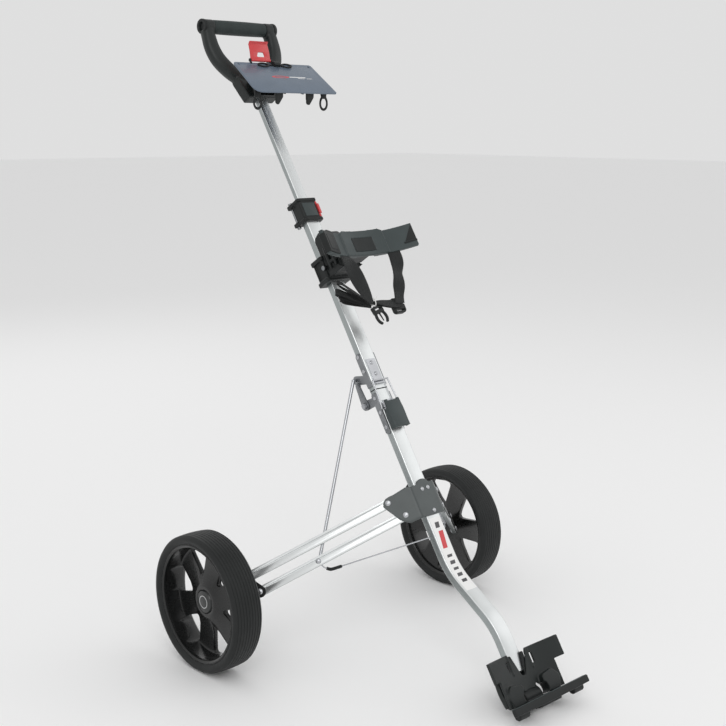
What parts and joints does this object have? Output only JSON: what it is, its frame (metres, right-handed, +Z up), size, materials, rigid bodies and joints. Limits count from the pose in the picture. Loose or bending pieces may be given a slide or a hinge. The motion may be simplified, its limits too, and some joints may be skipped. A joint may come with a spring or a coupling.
{
  "type": "folding golf trolley",
  "caption": "Folding two-wheel golf trolley: leaning tube with toe bracket, bag cradle and telescopic handle, swing-out legs.",
  "frame": {"origin": "floor level, centred under the bounding box", "axes": "+Z up, -Y is the toe side where the bag stands, X is the wheel axle direction and X = 0 the plane of symmetry of the frame"},
  "size_m": [0.688, 0.8515, 1.1579],
  "materials": {
    "aluminium": "satin, fine brushed",
    "arm_aluminium": "satin, grooved",
    "zinc_steel": "bright zinc plated",
    "bright_wire": "polished",
    "grey_paint": "satin powder coat",
    "black_paint": "satin powder coat",
    "black_plastic": "matt, fine grain",
    "grey_plastic": "satin, fine grain",
    "rim_plastic": "semi gloss",
    "card_plastic": "satin",
    "red_plastic": "gloss",
    "foam": "fine closed-cell foam",
    "pad_rubber": "matt",
    "tyre": "matt",
    "webbing": "woven polypropylene",
    "tie_wire": "matt"
  },
  "bodies": {
    "base": {"lower_tube": "aluminium", "lower_plug": "black_plastic", "lower_plates": "zinc_steel", "base_rivets": "zinc_steel", "hinge_bolt": "zinc_steel", "leg_bracket": "grey_paint", "leg_pins": "zinc_steel", "latch_base": "zinc_steel", "latch_pin": "zinc_steel", "foot_base": "black_plastic", "foot_saddle": "black_plastic", "foot_bolt": "zinc_steel", "stay_wire": "bright_wire", "stay_sleeves": "black_plastic"},
    "upper": {"mid_tube": "aluminium", "mid_plug": "black_plastic", "upper_plates": "zinc_steel", "upper_rivets": "zinc_steel", "catch_plate": "zinc_steel", "collar_body": "black_plastic", "clamp_bolts": "zinc_steel", "cradle_clamp": "black_plastic", "cradle_band": "grey_plastic", "cradle_pad": "pad_rubber", "strap_near": "webbing", "strap_far": "webbing", "strap_bundle": "webbing", "strap_tie": "tie_wire", "buckle_male": "black_plastic", "buckle_female": "black_plastic"},
    "handle": {"handle_tube": "aluminium", "handle_slider": "black_plastic", "handle_frame": "black_plastic", "grip_sleeve": "foam", "grip_core": "black_plastic", "scorecard_plate": "card_plastic", "plate_bracket": "black_plastic", "tee_holders": "black_plastic", "card_clip_base": "black_plastic"},
    "collar_lever": {"collar_lever": "red_plastic"},
    "card_clip": {"red_clip": "red_plastic"},
    "latch": {"latch_lever": "zinc_steel", "lever_cover": "grey_plastic"},
    "bail": {"wire_bail": "bright_wire"},
    "lower_arm_left": {"lower_arm_l": "arm_aluminium"},
    "upper_arm_left": {"upper_arm_l": "arm_aluminium"},
    "wheel_bracket_left": {"wheel_bracket_l": "black_paint", "axle_l": "zinc_steel"},
    "wheel_left": {"rim_l": "rim_plastic", "tyre_l": "tyre", "hub_cap_l": "grey_plastic"},
    "push_rod_left": {"push_rod_l": "bright_wire"},
    "lower_arm_right": {"lower_arm_r": "arm_aluminium"},
    "upper_arm_right": {"upper_arm_r": "arm_aluminium"},
    "wheel_bracket_right": {"wheel_bracket_r": "black_paint", "axle_r": "zinc_steel"},
    "wheel_right": {"rim_r": "rim_plastic", "tyre_r": "tyre", "hub_cap_r": "grey_plastic"},
    "push_rod_right": {"push_rod_r": "bright_wire"}
  },
  "joints": [
    {"name": "fold", "type": "hinge", "parent": "base", "child": "upper", "pos_m": [0, 0.01532, 0.45204], "axis": [-1, 0, 0], "range_deg": [0, 172], "deforming": ["stay_wire", "stay_sleeves"]},
    {"name": "handle_slide", "type": "slide", "parent": "upper", "child": "handle", "axis": [0, -0.5446, -0.8387], "range_m": [0, 0.2]},
    {"name": "collar_lever", "type": "hinge", "parent": "upper", "child": "collar_lever", "pos_m": [0.0217, 0.21165, 0.79016], "axis": [0, 0.5446, 0.8387], "range_deg": [0, 75]},
    {"name": "card_clip", "type": "hinge", "parent": "handle", "child": "card_clip", "pos_m": [-0.028, 0.30369, 1.07816], "axis": [1, 0, 0], "range_deg": [0, 50]},
    {"name": "latch", "type": "hinge", "parent": "base", "child": "latch", "pos_m": [0, -0.02755, 0.46497], "axis": [-1, 0, 0], "range_deg": [0, 83]},
    {"name": "bail", "type": "hinge", "parent": "latch", "child": "bail", "pos_m": [0, -0.03162, 0.45688], "axis": [-1, 0, 0], "range_deg": [-75, 0]},
    {"name": "lower_arm_left", "type": "hinge", "parent": "base", "child": "lower_arm_left", "pos_m": [-0.0425, -0.11591, 0.28007], "axis": [-0.7009, -0.5982, 0.3885], "range_deg": [0, 60]},
    {"name": "upper_arm_left", "type": "hinge", "parent": "base", "child": "upper_arm_left", "pos_m": [-0.05783, -0.08639, 0.29786], "axis": [-0.7009, -0.5982, 0.3885], "range_deg": [0, 60]},
    {"name": "wheel_bracket_left", "type": "hinge", "parent": "lower_arm_left", "child": "wheel_bracket_left", "pos_m": [-0.2491, 0.03917, 0.1461], "axis": [0.7009, 0.5982, -0.3885], "range_deg": [0, 60]},
    {"name": "push_rod_left", "type": "hinge", "parent": "lower_arm_left", "child": "push_rod_left", "pos_m": [-0.16149, -0.01817, 0.19659], "axis": [-0.115, 0.4249, -0.8979], "range_deg": [0, 62.11]},
    {"name": "wheel_spin_left", "type": "hinge", "parent": "wheel_bracket_left", "child": "wheel_left", "pos_m": [-0.314, 0.11078, 0.125], "axis": [1, 0, 0], "continuous": true},
    {"name": "lower_arm_right", "type": "hinge", "parent": "base", "child": "lower_arm_right", "pos_m": [0.0425, -0.11591, 0.28007], "axis": [-0.7009, 0.5982, -0.3885], "range_deg": [0, 60]},
    {"name": "upper_arm_right", "type": "hinge", "parent": "base", "child": "upper_arm_right", "pos_m": [0.05783, -0.08639, 0.29786], "axis": [-0.7009, 0.5982, -0.3885], "range_deg": [0, 60]},
    {"name": "wheel_bracket_right", "type": "hinge", "parent": "lower_arm_right", "child": "wheel_bracket_right", "pos_m": [0.2491, 0.03917, 0.1461], "axis": [0.7009, -0.5982, 0.3885], "range_deg": [0, 60]},
    {"name": "push_rod_right", "type": "hinge", "parent": "lower_arm_right", "child": "push_rod_right", "pos_m": [0.16149, -0.01817, 0.19659], "axis": [-0.115, -0.4249, 0.8979], "range_deg": [0, 62.11]},
    {"name": "wheel_spin_right", "type": "hinge", "parent": "wheel_bracket_right", "child": "wheel_right", "pos_m": [0.314, 0.11078, 0.125], "axis": [1, 0, 0], "continuous": true}
  ],
  "couplings": [
    {"joint": "bail", "follows": "latch", "ratio": -0.9},
    {"joint": "lower_arm_left", "follows": "fold", "ratio": 0.34884},
    {"joint": "upper_arm_left", "follows": "fold", "ratio": 0.34884},
    {"joint": "wheel_bracket_left", "follows": "fold", "ratio": 0.34884},
    {"joint": "push_rod_left", "follows": "fold", "ratio": 0.36108},
    {"joint": "lower_arm_right", "follows": "fold", "ratio": 0.34884},
    {"joint": "upper_arm_right", "follows": "fold", "ratio": 0.34884},
    {"joint": "wheel_bracket_right", "follows": "fold", "ratio": 0.34884},
    {"joint": "push_rod_right", "follows": "fold", "ratio": 0.36108}
  ]
}
